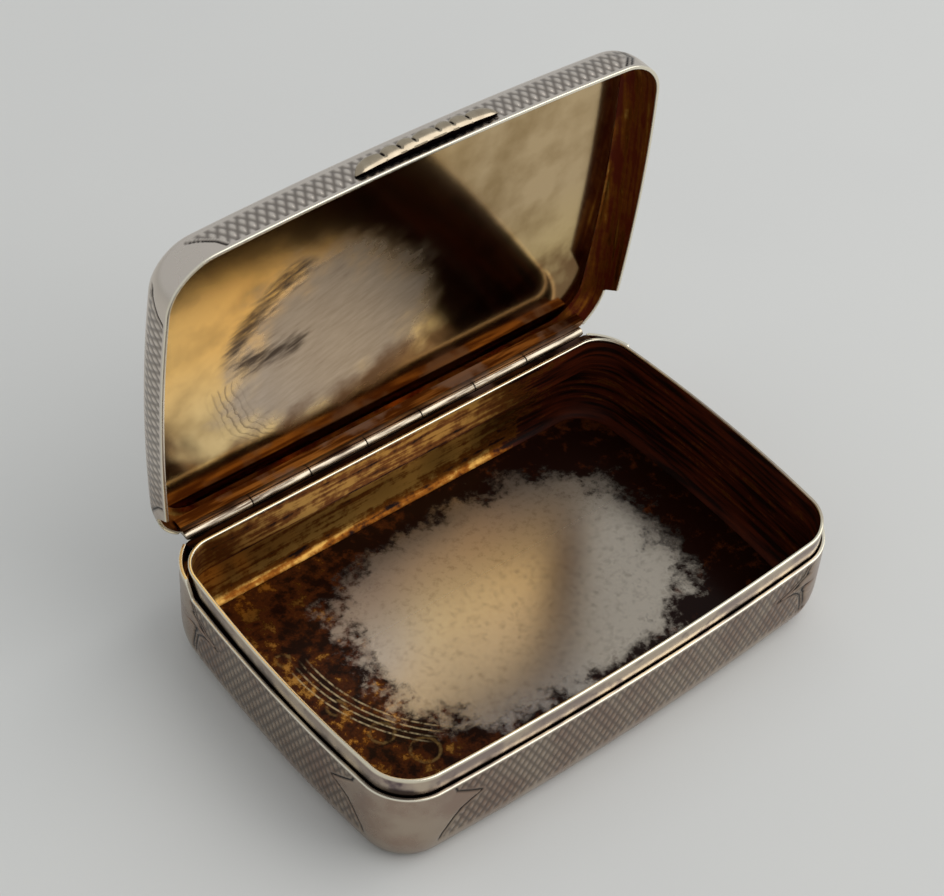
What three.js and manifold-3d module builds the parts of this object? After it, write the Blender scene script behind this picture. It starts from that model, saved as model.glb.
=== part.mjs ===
// A silver snuff box with a stand-up lid on a flush seven-knuckle hinge, shown with the lid open.
// Millimetres, +Z up, +X along the length, +Y towards the hinge. Origin: centre of the flat underside.
import * as THREE from "three";
import { mergeVertices } from "three/addons/utils/BufferGeometryUtils.js";
import Module from "manifold-3d";

const wasm = await Module();
wasm.setup();

// Outline of the box, seen from above: a cushion-cornered oblong with a straight back.
const BOX_LENGTH = 80.3;
const BOX_WIDTH = 54.0;
const FRONT_CORNER_RADIUS = 6.6;
const BACK_CORNER_RADIUS = 7.6;
const END_BOW = 1.4; // how far an end stands out at its middle
const FRONT_BOW = 1.4; // how far the front stands out at its middle

// Body: a side band rounded in at its foot, on a flat base plate.
const BODY_HEIGHT = 13.8; // underside to the rim that the lid closes on
const BODY_SHEET = 0.5;
const BASE_SHEET = 0.8;
const FOOT_ROUND_HEIGHT = 5.9;
const FOOT_ROUND_INSET = 2.4;

// Lid: a side band rounded over at its top, under a flat plate.
const LID_HEIGHT = 6.2; // rim to top
const LID_SHEET = 0.5;
const LID_PLATE_SHEET = 0.8;
const TOP_ROUND_HEIGHT = 4.2;
const TOP_ROUND_INSET = 2.2;

// The two rims step up together round the back corners, to the height of the hinge.
const STEP_RISE = 2.4;
const STEP_FOOT_TO_BACK = 8.8; // where the step starts, in front of the back face
const STEP_RUN = 1.6;

// Mouth rim: the inner strip that the lid closes over.
const MOUTH_SHEET = 0.5;
const MOUTH_STAND = 3.05; // above the body's rim
const MOUTH_DEPTH = 2.9; // below the body's rim
const MOUTH_BACK_CORNER_RADIUS = 4.8; // outside

// Hinge: tubes in a channel between two bars, with a pin that plugs close in.
const OPEN_ANGLE = 86; // degrees from closed to the stop
const STOP_PLAY = 6; // degrees left between the channel's edges at the stop
const KNUCKLE_RADIUS = 0.85;
const KNUCKLE_COUNT = 7;
const HINGE_TO_END = 4.9; // from either end of the hinge to that end of the box
const END_KNUCKLE_EXTRA = 1.16; // the outer tubes run on to the corners
const PIN_RADIUS = 0.4;
const PLUG_LENGTH = 2.0;
const BEARER_LEDGE = 1.35; // flat of the bearer between the mouth rim and the channel
const BODY_BEARER_HEIGHT = 3.4;
const LID_BEARER_HEIGHT = 1.7;

// Thumbpiece: a lobed bar on the lid's front.
const THUMB_HEIGHT = 2.5;
const THUMB_NOTCH_HEIGHT = 1.9;
const THUMB_RISE = 0.95; // lower edge above the lid's rim
const THUMB_SAG = 0.1; // how far the lower edge bows down at its middle
const THUMB_PROUD = 1.35; // at its middle
const THUMB_END_PROUD = 0.6;
const THUMB_BEVEL = 0.25;
const THUMB_MIDDLE_LOBE = 3.7;
const THUMB_SIDE_LOBES = [2.3, 2.5, 4.55]; // from the middle outwards, on either side

// Clearances.
const SEAM = 0.06; // soldered joint
const PARTING_GAP = 0.1; // between the two rims when the lid is shut
const MOUTH_CLEARANCE = 0.18; // round the outside of the mouth rim
const KNUCKLE_CLEARANCE = 0.12; // round a tube in its channel
const KNUCKLE_END_GAP = 0.12; // between neighbouring tubes
const PIN_CLEARANCE = 0.05;
const CHANNEL_END_GAP = 0.4;
const BEARER_CLEARANCE = 0.25; // lid's bearer to the mouth rim

// Fineness of the curves.
const CORNER_STEPS = 8;
const END_STEPS = 6;
const FRONT_STEPS = 8;
const ROUND_STEPS = 6;
const TUBE_SIDES = 28;
const LOBE_STEPS = 5;
const WELD = 1e-4;

const PAST = 5; // how far a cutting solid runs past what it cuts

// Places worked out from the sizes above.
const rimZ = BODY_HEIGHT;
const mouthTopZ = rimZ + MOUTH_STAND;
const mouthFootZ = rimZ - MOUTH_DEPTH;
const topZ = rimZ + LID_HEIGHT;
const backY = BOX_WIDTH / 2;
const frontY = -BOX_WIDTH / 2;
const channelRadius = KNUCKLE_RADIUS + KNUCKLE_CLEARANCE;
const hingeInset = channelRadius * Math.cos(THREE.MathUtils.degToRad(OPEN_ANGLE + STOP_PLAY) / 2);
const axisY = backY - hingeInset;
const axisZ = rimZ + STEP_RISE;
const mouthInset = BODY_SHEET + MOUTH_CLEARANCE;
const mouthBackY = axisY - channelRadius - BEARER_LEDGE;
const mouthBackSet = backY - mouthInset - mouthBackY;
const mouthBackRadius = MOUTH_BACK_CORNER_RADIUS + mouthInset;
const hingeHalf = BOX_LENGTH / 2 - HINGE_TO_END;
const knucklePitch = (2 * (hingeHalf - END_KNUCKLE_EXTRA)) / KNUCKLE_COUNT;
const channelHalf = hingeHalf + CHANNEL_END_GAP;
const knuckleProud = KNUCKLE_RADIUS - hingeInset;
const boreRadius = PIN_RADIUS + PIN_CLEARANCE;
const stepFootY = backY - STEP_FOOT_TO_BACK;
const thumbLobes = [...THUMB_SIDE_LOBES.toReversed(), THUMB_MIDDLE_LOBE, ...THUMB_SIDE_LOBES];
const thumbLength = thumbLobes.reduce((sum, lobe) => sum + lobe, 0);

// How far the front has drawn back from its middle at a place along the length.
function frontDraw(x, halfLength) {
  return FRONT_BOW * (x / halfLength) ** 2;
}

// The box's outline drawn in by an inset, its back drawn in further by backSet. Anticlockwise from above.
function outline(inset, backSet = 0, backRadius = BACK_CORNER_RADIUS) {
  const halfLength = BOX_LENGTH / 2 - inset;
  const front = frontY + inset;
  const back = backY - inset - backSet;
  const middle = (front + back) / 2;
  const halfWidth = (back - front) / 2;
  const radii = [FRONT_CORNER_RADIUS, backRadius, backRadius, FRONT_CORNER_RADIUS].map((r) => r - inset);
  const sideSteps = [END_STEPS, 1, END_STEPS, FRONT_STEPS];
  const cornerCentre = (corner) => {
    const side = corner < 2 ? 1 : -1;
    const end = corner === 1 || corner === 2 ? 1 : -1;
    const radius = radii[corner];
    return new THREE.Vector2(side * (halfLength - radius), middle + end * (halfWidth - radius));
  };
  const onCorner = (corner, share) => {
    const angle = ((corner - 1 + share) * Math.PI) / 2;
    const arm = new THREE.Vector2(Math.cos(angle), Math.sin(angle)).multiplyScalar(radii[corner]);
    return arm.add(cornerCentre(corner));
  };
  const points = [];
  for (let corner = 0; corner < 4; corner += 1) {
    for (let step = 0; step <= CORNER_STEPS; step += 1) {
      points.push(onCorner(corner, step / CORNER_STEPS));
    }
    const from = onCorner(corner, 1);
    const to = onCorner((corner + 1) % 4, 0);
    for (let step = 1; step < sideSteps[corner]; step += 1) {
      points.push(from.clone().lerp(to, step / sideSteps[corner]));
    }
  }
  return points.map(({ x, y }) => {
    const across = (y - middle) / halfWidth;
    const along = x / halfLength;
    const frontShare = Math.max(-across, 0);
    return new THREE.Vector2(
      x - along * END_BOW * across ** 2,
      y + frontShare * frontDraw(x, halfLength),
    );
  });
}

// A solid with the box's outline at each level, given as [inset, height] from the lowest up.
function loft(levels, backSet = 0, backRadius = BACK_CORNER_RADIUS) {
  const rings = levels.map(([inset, z]) => outline(inset, backSet, backRadius).map((p) => [p.x, p.y, z]));
  const count = rings[0].length;
  const last = (rings.length - 1) * count;
  const index = [];
  for (let level = 0; level < rings.length - 1; level += 1) {
    for (let i = 0; i < count; i += 1) {
      const a = level * count + i;
      const b = level * count + ((i + 1) % count);
      index.push(a, b, b + count, a, b + count, a + count);
    }
  }
  for (let i = 1; i < count - 1; i += 1) {
    index.push(0, i + 1, i, last, last + i, last + i + 1);
  }
  const geometry = new THREE.BufferGeometry();
  geometry.setAttribute("position", new THREE.Float32BufferAttribute(rings.flat(2), 3));
  geometry.setIndex(index);
  return solidOf(geometry);
}

// Levels of a quarter ellipse from [startInset, startZ], upright there, to [endInset, endZ], level there.
function roundLevels(startInset, startZ, endInset, endZ) {
  return Array.from({ length: ROUND_STEPS + 1 }, (_, step) => {
    const angle = (step / ROUND_STEPS) * (Math.PI / 2);
    const inset = startInset + (endInset - startInset) * (1 - Math.cos(angle));
    return [inset, startZ + (endZ - startZ) * Math.sin(angle)];
  });
}

function solidOf(geometry) {
  const bare = geometry.clone();
  bare.deleteAttribute("normal");
  bare.deleteAttribute("uv");
  const merged = mergeVertices(bare, WELD);
  const mesh = new wasm.Mesh({
    numProp: 3,
    vertProperties: merged.attributes.position.array,
    triVerts: new Uint32Array(merged.index.array),
  });
  return new wasm.Manifold(mesh);
}

function geometryOf(solid) {
  const { vertProperties, triVerts } = solid.getMesh();
  const geometry = new THREE.BufferGeometry();
  geometry.setAttribute("position", new THREE.BufferAttribute(vertProperties, 3));
  geometry.setIndex(new THREE.BufferAttribute(triVerts, 1));
  geometry.computeVertexNormals();
  return geometry;
}

// A shape drawn in the side view (across = Y, up = Z), extruded over the given half length along X.
function sideExtrusion(shape, halfLength) {
  const geometry = new THREE.ExtrudeGeometry(shape, {
    depth: 2 * halfLength,
    bevelEnabled: false,
    curveSegments: TUBE_SIDES / 2,
  });
  geometry.translate(0, 0, -halfLength);
  const turn = new THREE.Matrix4().makeBasis(
    new THREE.Vector3(0, 1, 0),
    new THREE.Vector3(0, 0, 1),
    new THREE.Vector3(1, 0, 0),
  );
  return geometry.applyMatrix4(turn);
}

// The stepped line where lid and body part, seen from the side, moved by a gap towards the lid.
function partingLine(gap) {
  const reach = BOX_WIDTH / 2 + PAST;
  return [
    new THREE.Vector2(-reach, rimZ + gap),
    new THREE.Vector2(stepFootY - gap, rimZ + gap),
    new THREE.Vector2(stepFootY + STEP_RUN - gap, axisZ + gap),
    new THREE.Vector2(reach, axisZ + gap),
  ];
}

// Everything between the parting line and a height above or below it.
function partedSide(gap, farZ) {
  const line = partingLine(gap);
  const far = [new THREE.Vector2(line.at(-1).x, farZ), new THREE.Vector2(line[0].x, farZ)];
  return solidOf(sideExtrusion(new THREE.Shape([...line, ...far]), BOX_LENGTH / 2 + PAST));
}

// The round channel that the hinge tubes lie in.
function hingeChannel() {
  const shape = new THREE.Shape().absarc(axisY, axisZ, channelRadius, 0, 2 * Math.PI);
  return solidOf(sideExtrusion(shape, channelHalf));
}

// A block between two places along Y and two heights, as long as the hinge channel.
function hingeBlock(fromY, toY, fromZ, toZ) {
  const block = new THREE.BoxGeometry(2 * channelHalf, toY - fromY, toZ - fromZ);
  block.translate(0, (fromY + toY) / 2, (fromZ + toZ) / 2);
  return solidOf(block);
}

// Inside faces of the two bands, as levels from the lowest up.
function bodyInside(seam) {
  const foot = [FOOT_ROUND_INSET + seam, BASE_SHEET];
  const cove = roundLevels(BODY_SHEET + seam, FOOT_ROUND_HEIGHT, foot[0], foot[1]).reverse();
  return [...cove, [BODY_SHEET + seam, topZ + PAST]];
}

function lidInside(seam) {
  const top = [TOP_ROUND_INSET + seam, topZ - LID_PLATE_SHEET];
  const cove = roundLevels(LID_SHEET + seam, topZ - TOP_ROUND_HEIGHT, top[0], top[1]);
  return [[LID_SHEET + seam, rimZ - PAST], ...cove];
}

function bodyBand() {
  const foot = roundLevels(0, FOOT_ROUND_HEIGHT, FOOT_ROUND_INSET, 0).reverse();
  const outside = loft([...foot, [0, topZ]]);
  const inside = loft([[FOOT_ROUND_INSET, -PAST], ...bodyInside(0)]);
  return outside.subtract(inside).subtract(partedSide(0, topZ + PAST)).subtract(hingeChannel());
}

function bodyBase() {
  const inset = FOOT_ROUND_INSET + SEAM;
  return loft([[inset, 0], [inset, BASE_SHEET]]);
}

function mouthRim() {
  const strip = (inset, fromZ, toZ) => loft([[inset, fromZ], [inset, toZ]], mouthBackSet, mouthBackRadius);
  const outside = strip(mouthInset, mouthFootZ, mouthTopZ);
  const inside = strip(mouthInset + MOUTH_SHEET, mouthFootZ - PAST, mouthTopZ + PAST);
  return outside.subtract(inside);
}

function bodyHingeBearer() {
  const block = hingeBlock(mouthBackY + SEAM, backY, axisZ - BODY_BEARER_HEIGHT, axisZ);
  return block.intersect(loft(bodyInside(SEAM))).subtract(hingeChannel());
}

function lidBand() {
  const round = roundLevels(0, topZ - TOP_ROUND_HEIGHT, TOP_ROUND_INSET, topZ);
  const outside = loft([[0, rimZ], ...round]);
  const inside = loft([...lidInside(0), [TOP_ROUND_INSET, topZ + PAST]]);
  return outside.subtract(inside).subtract(partedSide(PARTING_GAP, 0)).subtract(hingeChannel());
}

function lidPlate() {
  const inset = TOP_ROUND_INSET + SEAM;
  return loft([[inset, topZ - LID_PLATE_SHEET], [inset, topZ]]);
}

function lidHingeBearer() {
  const foot = axisZ + PARTING_GAP;
  const block = hingeBlock(mouthBackY + BEARER_CLEARANCE, backY, foot, foot + LID_BEARER_HEIGHT);
  return block.intersect(loft(lidInside(SEAM))).subtract(hingeChannel());
}

// A tube between two places along the hinge, filed to the box's corners.
function knuckle(fromX, toX) {
  const ring = new THREE.Shape().absarc(axisY, axisZ, KNUCKLE_RADIUS, 0, 2 * Math.PI);
  ring.holes.push(new THREE.Path().absarc(axisY, axisZ, boreRadius, 0, 2 * Math.PI, true));
  const tube = sideExtrusion(ring, (toX - fromX) / 2).translate((fromX + toX) / 2, 0, 0);
  return solidOf(tube).intersect(filedEnd());
}

function filedEnd() {
  return loft([[-knuckleProud, axisZ - PAST], [-knuckleProud, axisZ + PAST]]);
}

// A round bar along the hinge's axis between two places.
function axisBar(radius, fromX, toX) {
  const bar = new THREE.CylinderGeometry(radius, radius, toX - fromX, TUBE_SIDES);
  bar.rotateZ(-Math.PI / 2);
  bar.translate((fromX + toX) / 2, axisY, axisZ);
  return solidOf(bar);
}

function hingePin() {
  const half = hingeHalf - PLUG_LENGTH - KNUCKLE_END_GAP;
  return axisBar(PIN_RADIUS, -half, half);
}

function pinPlug(side) {
  const ends = [side * (hingeHalf - PLUG_LENGTH), side * hingeHalf].sort((a, b) => a - b);
  return axisBar(boreRadius - SEAM, ends[0], ends[1]).intersect(filedEnd());
}

// Places along X where one lobe of the thumbpiece meets the next, from right to left.
function thumbNotches() {
  let x = thumbLength / 2;
  return thumbLobes.slice(0, -1).map((lobe) => {
    x -= lobe;
    return x;
  });
}

// The thumbpiece drawn from the front, thinned towards its ends, bent to the lid's front and laid on it.
function thumbpiece() {
  const half = thumbLength / 2 - THUMB_BEVEL;
  const notchHeight = THUMB_NOTCH_HEIGHT - 2 * THUMB_BEVEL;
  const crown = 2 * (THUMB_HEIGHT - 2 * THUMB_BEVEL) - notchHeight;
  const shape = new THREE.Shape().moveTo(-half, 0);
  shape.quadraticCurveTo(0, -2 * THUMB_SAG, half, 0);
  let from = half;
  [...thumbNotches().map((x) => [x, notchHeight]), [-half, 0]].forEach(([to, height]) => {
    shape.quadraticCurveTo((from + to) / 2, crown, to, height);
    from = to;
  });
  const geometry = new THREE.ExtrudeGeometry(shape, {
    depth: THUMB_PROUD - 2 * THUMB_BEVEL,
    bevelThickness: THUMB_BEVEL,
    bevelSize: THUMB_BEVEL,
    bevelSegments: 1,
    curveSegments: LOBE_STEPS,
  });
  geometry.rotateX(Math.PI / 2);
  geometry.translate(0, frontY - SEAM - THUMB_BEVEL, rimZ + PARTING_GAP + THUMB_RISE + THUMB_BEVEL);
  const position = geometry.attributes.position;
  const rearY = frontY - SEAM;
  for (let i = 0; i < position.count; i += 1) {
    const x = position.getX(i);
    const thinning = (1 - THUMB_END_PROUD / THUMB_PROUD) * ((2 * x) / thumbLength) ** 2;
    const y = rearY + (position.getY(i) - rearY) * (1 - thinning);
    position.setY(i, y + frontDraw(x, BOX_LENGTH / 2));
  }
  return solidOf(geometry);
}

// Finishes.
const finish = {
  engineTurned: () => new THREE.MeshStandardMaterial({ color: "#a9a297", roughness: 0.38, metalness: 1 }),
  polished: () => new THREE.MeshStandardMaterial({ color: "#c9c2b4", roughness: 0.2, metalness: 1 }),
  gilt: () => new THREE.MeshStandardMaterial({ color: "#b58a4a", roughness: 0.4, metalness: 1 }),
};

function addPiece(group, name, solid, material) {
  const mesh = new THREE.Mesh(geometryOf(solid), material);
  mesh.name = name;
  group.add(mesh);
}

const snuffBox = new THREE.Group();

// The lid's pieces are drawn shut and hang in a group that turns them open about the hinge's axis.
const lidTurn = new THREE.Group();
lidTurn.position.set(0, axisY, axisZ);
lidTurn.rotation.x = -THREE.MathUtils.degToRad(OPEN_ANGLE);
const lid = new THREE.Group();
lid.position.set(0, -axisY, -axisZ);
lidTurn.add(lid);
snuffBox.add(lidTurn);

addPiece(snuffBox, "body_band", bodyBand(), finish.engineTurned());
addPiece(snuffBox, "body_base", bodyBase(), finish.gilt());
addPiece(snuffBox, "mouth_rim", mouthRim(), finish.polished());
addPiece(snuffBox, "body_hinge_bearer", bodyHingeBearer(), finish.gilt());
addPiece(snuffBox, "hinge_pin", hingePin(), finish.polished());
addPiece(lid, "lid_band", lidBand(), finish.engineTurned());
addPiece(lid, "lid_plate", lidPlate(), finish.gilt());
addPiece(lid, "lid_hinge_bearer", lidHingeBearer(), finish.gilt());
addPiece(lid, "pin_plug_left", pinPlug(-1), finish.polished());
addPiece(lid, "pin_plug_right", pinPlug(1), finish.polished());
addPiece(lid, "thumbpiece", thumbpiece(), finish.polished());

// The tubes run from left to right, by turns on the lid and on the body.
for (let i = 0; i < KNUCKLE_COUNT; i += 1) {
  const onLid = i % 2 === 0;
  const fromX = i === 0 ? -hingeHalf : (i - KNUCKLE_COUNT / 2) * knucklePitch + KNUCKLE_END_GAP / 2;
  const isLast = i === KNUCKLE_COUNT - 1;
  const toX = isLast ? hingeHalf : (i + 1 - KNUCKLE_COUNT / 2) * knucklePitch - KNUCKLE_END_GAP / 2;
  const name = `${onLid ? "lid" : "body"}_knuckle_${Math.floor(i / 2) + 1}`;
  addPiece(onLid ? lid : snuffBox, name, knuckle(fromX, toX), finish.polished());
}

export default snuffBox;
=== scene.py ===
import functools
import math

import bmesh
import bpy
import numpy as np
from mathutils import Matrix, Vector


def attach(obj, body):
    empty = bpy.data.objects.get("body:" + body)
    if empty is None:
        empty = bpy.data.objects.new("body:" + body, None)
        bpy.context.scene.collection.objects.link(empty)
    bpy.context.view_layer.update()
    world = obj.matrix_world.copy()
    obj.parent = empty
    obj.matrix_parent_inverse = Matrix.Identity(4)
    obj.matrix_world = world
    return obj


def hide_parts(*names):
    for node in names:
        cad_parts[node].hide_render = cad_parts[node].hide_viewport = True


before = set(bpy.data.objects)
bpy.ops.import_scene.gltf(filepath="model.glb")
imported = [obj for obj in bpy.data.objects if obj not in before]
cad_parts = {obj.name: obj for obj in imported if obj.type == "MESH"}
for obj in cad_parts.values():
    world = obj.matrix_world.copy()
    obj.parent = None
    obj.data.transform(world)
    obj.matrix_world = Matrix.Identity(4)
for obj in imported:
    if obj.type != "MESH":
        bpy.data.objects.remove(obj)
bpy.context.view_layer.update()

# The view. A lens of 85 mm on a 36 mm frame looks down at the box from its front left corner.
# Its place comes from a pinhole camera fitted to the rims, the hinge joints and the outer edges.
MM = 0.001
FRAME_WIDTH = 36.0
LENS = 85.05
VIEW_TURN, VIEW_RISE, VIEW_ROLL = np.radians([-42.248, 44.964, 4.505])
VIEW_DISTANCE, VIEW_ACROSS, VIEW_UP = 313.051, -4.343, 23.828

to_viewer = np.array([math.sin(VIEW_TURN) * math.cos(VIEW_RISE),
                      -math.cos(VIEW_TURN) * math.cos(VIEW_RISE),
                      math.sin(VIEW_RISE)])
level_right = np.array([math.cos(VIEW_TURN), math.sin(VIEW_TURN), 0.0])
level_up = np.cross(to_viewer, level_right)
view_right = math.cos(VIEW_ROLL) * level_right + math.sin(VIEW_ROLL) * level_up
view_up = math.cos(VIEW_ROLL) * level_up - math.sin(VIEW_ROLL) * level_right
view_place = (VIEW_DISTANCE * to_viewer + VIEW_ACROSS * view_right + VIEW_UP * view_up) * MM
camera = bpy.data.objects.new("camera", bpy.data.cameras.new("camera"))
camera.data.sensor_width = FRAME_WIDTH
camera.data.lens = LENS
camera.data.clip_start = 0.01
camera.matrix_world = Matrix.Translation(view_place) @ Matrix(
    np.column_stack([view_right, view_up, to_viewer]).tolist()).to_4x4()
bpy.context.scene.collection.objects.link(camera)
bpy.context.scene.camera = camera
bpy.context.scene.view_settings.view_transform = "Standard"

# Body band. One strip of silver sheet bent round a cushion-cornered outline, rounded in at its foot and
# soldered at the back. Its outside is engine-turned between plain polished corners, where the turning ends
# in engraved brackets; its inside is gilt.
BOX_LENGTH, BOX_WIDTH = 80.3, 54.0
CORNERS = np.array([6.6, 7.6, 7.6, 6.6])  # radii, from the front right corner anticlockwise
SIDES = np.array([BOX_WIDTH, BOX_LENGTH] * 2) - CORNERS - np.roll(CORNERS, -1)  # from the right end on
END_BOW, FRONT_BOW = 1.4, 1.4
BODY_HEIGHT, BODY_SHEET, BASE_SHEET = 13.8, 0.5, 0.8
FOOT_ROUND_HEIGHT, FOOT_ROUND_INSET = 5.9, 2.4
STEP_RISE, STEP_FOOT_Y, STEP_RUN = 2.4, 18.2, 1.6
AXIS_Y, AXIS_Z = 26.32618, 16.2
CHANNEL_RADIUS, CHANNEL_HALF = 0.97, 35.65
EDGE_ROUND, LIP_POINTS, COVE_POINTS = 0.12, 5, 7
LIP_COURSES = np.array([0.7, 0.35])  # rows between the panel and the rim, as shares of the way
INNER_COURSE = 9.0  # height of the one row between the rim and the cove
GRAIN_LENGTH, GRAIN_HEIGHT, GRAIN_DEPTH, GRAIN_POINT = 1.45, 2.27, 0.13, 1.3
GRAIN_STEPS, GRAIN_ROWS, PLAIN_ROWS, CURVE_POINTS = 8, 10, 9, 300
PANEL_FADE, TURNING_STARTS = 0.2, (0.25, 0.6)  # where the turning ends at the foot and at the brackets
ENGRAVED_WIDTH, ENGRAVED_DEEPER, SECOND_LINE = 0.24, 1.5, 0.65
BODY_PANEL_TOP, BODY_PANEL_FOOT = 13.2, 3.9
RUBBED = -1.0  # stands for a rim rubbed bright where the depth cut is kept
SNUFF_SHEEN = 0.08
CORNER_STATIONS = 24
MERGE_DISTANCE, SLIVER, SHARP_ANGLE = 1e-7, 1e-9, math.radians(50)
# Ends of the engine turning as heights and distances in from the box's ends and faces: at two corners the
# short hook of the bracket is above the long sweep, at the other two below it.
HOOK_ABOVE = np.array([(2.4, 6.4), (4.9, 7.2), (7.05, 8.9), (8.2, 10.1), (9.1, 12.0), (9.7, 13.4),
                       (11.05, 11.1), (12.3, 9.2), (13.3, 8.8), (14.0, 8.7)])
HOOK_BELOW = np.array([(2.4, 6.6), (5.3, 7.2), (7.8, 7.8), (8.6, 8.7), (9.1, 10.0), (9.5, 13.2),
                       (10.1, 10.8), (11.5, 7.8), (13.1, 7.0), (14.0, 6.9)])
STEP_BRACKET_SHIFT = 2.2


def stations(spacing, steps_each):
    """Places once round the box, anticlockwise from its front right corner. Each has the corner it
    follows, the share of that corner's quarter turn and the share of the straight side after it; a side
    has as many equal spacings as fit, with steps_each places in each."""
    steps = steps_each * np.round(SIDES / spacing).astype(int)
    turn = np.linspace(0, 1, CORNER_STATIONS + 1)
    shares = [np.arange(1, count) / count for count in steps]
    corner = np.concatenate([np.full(turn.size + share.size, k) for k, share in enumerate(shares)])
    turned = np.concatenate([np.r_[turn, np.ones(share.size)] for share in shares])
    along = np.concatenate([np.r_[np.zeros(turn.size), share] for share in shares])
    return corner, turned, along


def outline(inset, place, back_set=0.0, corners=CORNERS):
    """The outline drawn in by an inset, its back by back_set more: quarter circles about the four corner
    centres and straight lines between them; then each point moves inwards by the bow of the ends, which
    grows as the square of its share across, and by the bow of the front, which grows as the square of its
    share along."""
    corner, turned, along = place
    half_length = BOX_LENGTH / 2 - inset
    front, back = inset - BOX_WIDTH / 2, BOX_WIDTH / 2 - inset - back_set
    middle, half_width = (front + back) / 2, (back - front) / 2

    def on_corner(k, share):
        angle, radius = (k - 1 + share) * math.pi / 2, corners[k] - inset
        side, end = np.where(k < 2, 1, -1), np.where((k == 1) | (k == 2), 1, -1)
        return (side * (half_length - radius) + radius * np.cos(angle),
                middle + end * (half_width - radius) + radius * np.sin(angle))

    from_x, from_y = on_corner(corner, turned)
    to_x, to_y = on_corner((corner + 1) % 4, 0.0)
    x, y = from_x + (to_x - from_x) * along, from_y + (to_y - from_y) * along
    across, length_share = (y - middle) / half_width, x / half_length
    return (x - length_share * END_BOW * across ** 2,
            y + np.maximum(-across, 0) * FRONT_BOW * length_share ** 2)


def ring_rows(inset, height, place, back_set=0.0, corners=CORNERS):
    """Rows of points round the outline, one for each pair of inset and height."""
    x, y = outline(np.asarray(inset)[:, None], place, back_set, corners)
    return np.stack([x, y, np.broadcast_to(np.asarray(height)[:, None], x.shape)], -1)


def smooth_step(low, high, value):
    """Rises from 0 at low to 1 at high along the cubic 3t^2 - 2t^3."""
    t = np.clip((value - low) / (high - low), 0, 1)
    return t * t * (3 - 2 * t)


def rim_line(x, y, lid_gap=None):
    """Height of the body's rim, or of the lid's where a gap is given: it is level, climbs a step towards
    the back and is cut by the round channel of the hinge."""
    gap, side = (0.0, -1) if lid_gap is None else (lid_gap, 1)
    line = BODY_HEIGHT + gap + STEP_RISE * np.clip((y + gap - STEP_FOOT_Y) / STEP_RUN, 0, 1)
    bow = np.sqrt(np.maximum(CHANNEL_RADIUS ** 2 - (y - AXIS_Y) ** 2, 0)) * (np.abs(x) < CHANNEL_HALF)
    channel = np.where(bow > gap, AXIS_Z + side * bow, line)
    return np.minimum(line, channel) if lid_gap is None else np.maximum(line, channel)


def rim_rows(inset, past_edge, towards, share, place, lid_gap=None):
    """Rows next to a rim: each lies past_edge from it and then a share of the way towards a height, but
    the lid's rows never below its rim."""
    x, y = outline(inset[:, None], place)
    edge = rim_line(x, y, lid_gap) + past_edge[:, None] * (-1 if lid_gap is None else 1)
    target = towards if lid_gap is None else np.maximum(towards, edge)
    return np.stack([x, y, edge + (target - edge) * share[:, None]], -1)


def lip_rows(sheet, towards, place, lid_gap=None):
    """The rounded rim of a sheet, from its outside over the edge to its inside."""
    turn = np.linspace(0, math.pi / 2, LIP_POINTS)
    round_in, round_off = EDGE_ROUND * (1 - np.sin(turn)), EDGE_ROUND * (1 - np.cos(turn))
    inset = np.r_[0 * LIP_COURSES, round_in[::-1], sheet - round_in]
    past = np.r_[EDGE_ROUND + 0 * LIP_COURSES, round_off[::-1], round_off]
    share = np.r_[LIP_COURSES, np.zeros(2 * turn.size)]
    return rim_rows(inset, past, towards, share, place, lid_gap)


def panel_places(place):
    """For each station how far it is from the middle of its side, that side's half length, how far it is
    in from the end of the box at the nearer corner, which corner that is (0 front right, then
    anticlockwise), and which side (0 right end, then anticlockwise). In a corner the distances run on
    along the arc."""
    corner, turned, along = place
    before = (along == 0) & (turned < 0.5)
    side = np.where(before, (corner - 1) % 4, corner)
    half = SIDES[side] / 2
    past = CORNERS[corner] * math.pi / 2 * np.where(before, turned, 1 - turned)
    from_middle = np.where(along > 0, (2 * along - 1) * half, np.where(before, half + past, -half - past))
    end_corner = np.where(from_middle > 0, (side + 1) % 4, side)
    return from_middle, half, CORNERS[end_corner] + half - np.abs(from_middle), end_corner, side


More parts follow.
